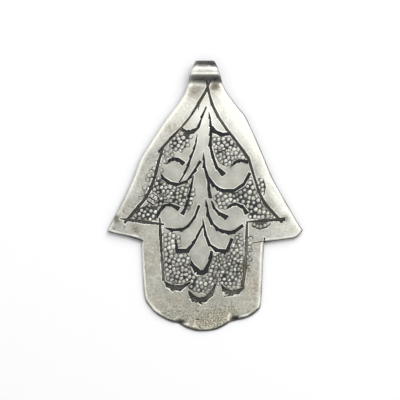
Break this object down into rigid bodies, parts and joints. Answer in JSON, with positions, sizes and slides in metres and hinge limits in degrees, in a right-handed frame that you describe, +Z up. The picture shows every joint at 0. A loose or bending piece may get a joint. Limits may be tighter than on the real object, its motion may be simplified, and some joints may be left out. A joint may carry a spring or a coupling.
{
  "type": "hamsa pendant",
  "caption": "Flat hand-shaped silver pendant with pointed wings, scalloped foot, chiselled leaf scroll on a pearled ground and a bail rolled from the same sheet.",
  "frame": {"origin": "centre of the footprint of the pendant as it lies on its back, on the surface it lies on", "axes": "+Z up through the engraved face, +Y towards the bail, +X to the right along the bore of the bail"},
  "size_m": [0.039, 0.054, 0.0036],
  "materials": {
    "old_silver": "old silver, filed and worn bright on the high parts, dark sulphide in the cuts"
  },
  "bodies": {
    "root": {"hamsa_plate": "old_silver"}
  },
  "joints": []
}
